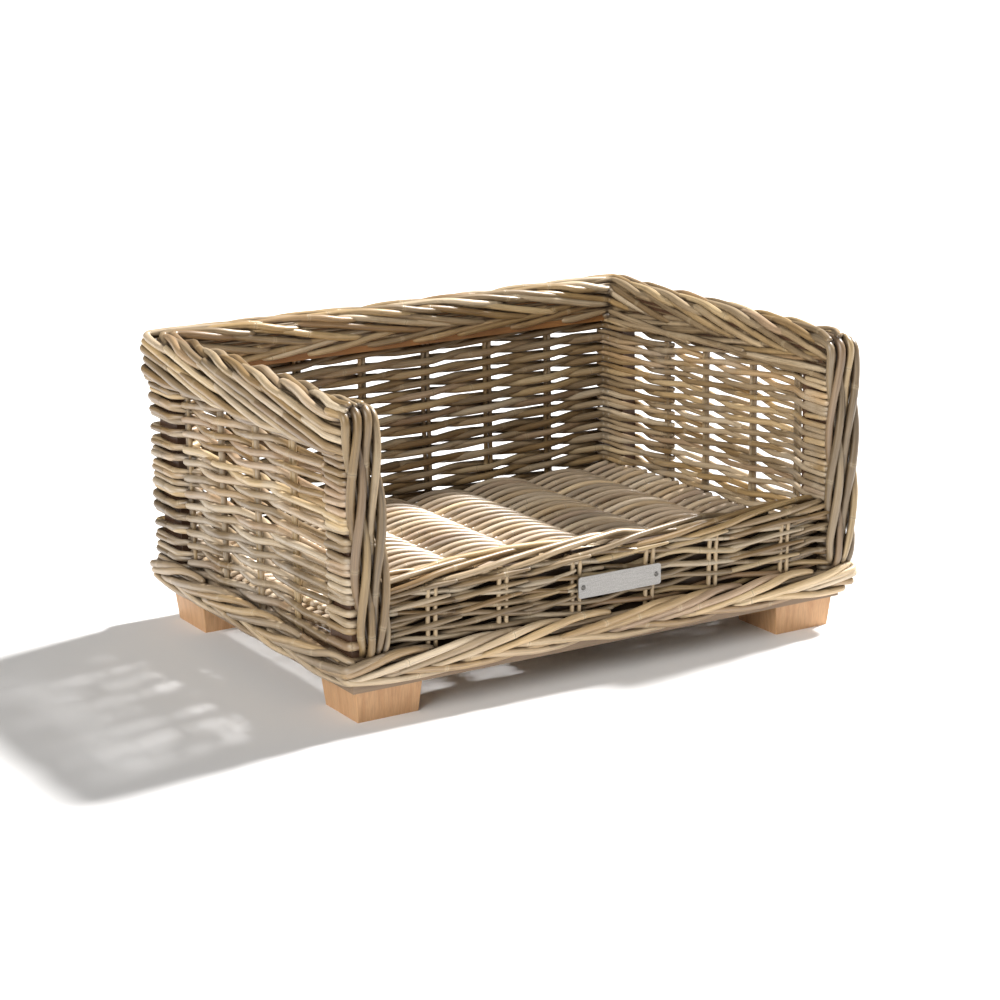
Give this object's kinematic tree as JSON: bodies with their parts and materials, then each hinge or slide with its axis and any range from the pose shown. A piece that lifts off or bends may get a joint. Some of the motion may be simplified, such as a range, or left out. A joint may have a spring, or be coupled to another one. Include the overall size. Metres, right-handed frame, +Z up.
{
  "type": "wicker pet bed basket",
  "caption": "Rectangular woven rattan pet bed with a low front entry, braided borders, a woven floor and square tapered wooden feet.",
  "frame": {"origin": "on the floor under the middle of the basket", "axes": "+X to the right-hand side along the long side, +Y to the back wall (the low entry side faces -Y), +Z up"},
  "size_m": [0.644, 0.48, 0.334],
  "materials": {
    "rattan_wall": "satin, weathered grey-brown rattan",
    "rattan_braid": "satin, weathered grey-brown rattan",
    "rattan_floor": "satin, weathered grey-brown rattan",
    "rattan_stake": "satin, weathered grey-brown rattan",
    "frame_wood": "plain sawn orange-brown softwood",
    "foot_wood": "light beech, thin matt lacquer",
    "brushed_metal": "brushed, satin",
    "screw_steel": "zinc plated"
  },
  "bodies": {
    "root": {"base_rail_back": "frame_wood", "base_rail_front": "frame_wood", "base_rail_left": "frame_wood", "base_rail_right": "frame_wood", "base_slat": "frame_wood", "bottom_braid_back": "rattan_braid", "bottom_braid_front": "rattan_braid", "bottom_braid_left": "rattan_braid", "bottom_braid_right": "rattan_braid", "floor_bearer_back": "frame_wood", "floor_bearer_front": "frame_wood", "floor_rib_1": "frame_wood", "floor_rib_2": "frame_wood", "floor_rib_3": "frame_wood", "floor_rib_4": "frame_wood", "floor_rib_5": "frame_wood", "floor_rib_6": "frame_wood", "floor_weave": "rattan_floor", "foot_back_left": "foot_wood", "foot_back_right": "foot_wood", "foot_front_left": "foot_wood", "foot_front_right": "foot_wood", "foot_screws": "screw_steel", "frame_screws": "screw_steel", "front_board": "frame_wood", "front_border": "rattan_braid", "front_plait_left": "rattan_braid", "front_plait_right": "rattan_braid", "front_ties": "rattan_stake", "name_plate": "brushed_metal", "plate_rivets": "brushed_metal", "post_back_left": "frame_wood", "post_back_right": "frame_wood", "post_front_left": "frame_wood", "post_front_right": "frame_wood", "stakes_back_1": "rattan_stake", "stakes_back_2": "rattan_stake", "stakes_back_3": "rattan_stake", "stakes_back_4": "rattan_stake", "stakes_back_5": "rattan_stake", "stakes_back_6": "rattan_stake", "stakes_left_1": "rattan_stake", "stakes_left_2": "rattan_stake", "stakes_left_3": "rattan_stake", "stakes_left_4": "rattan_stake", "stakes_right_1": "rattan_stake", "stakes_right_2": "rattan_stake", "stakes_right_3": "rattan_stake", "stakes_right_4": "rattan_stake", "top_braid_back": "rattan_braid", "top_braid_left": "rattan_braid", "top_braid_right": "rattan_braid", "top_rail_back": "frame_wood", "top_rail_left": "frame_wood", "top_rail_right": "frame_wood", "weave_back": "rattan_wall", "weave_front": "rattan_wall", "weave_left": "rattan_wall", "weave_right": "rattan_wall"}
  },
  "joints": []
}
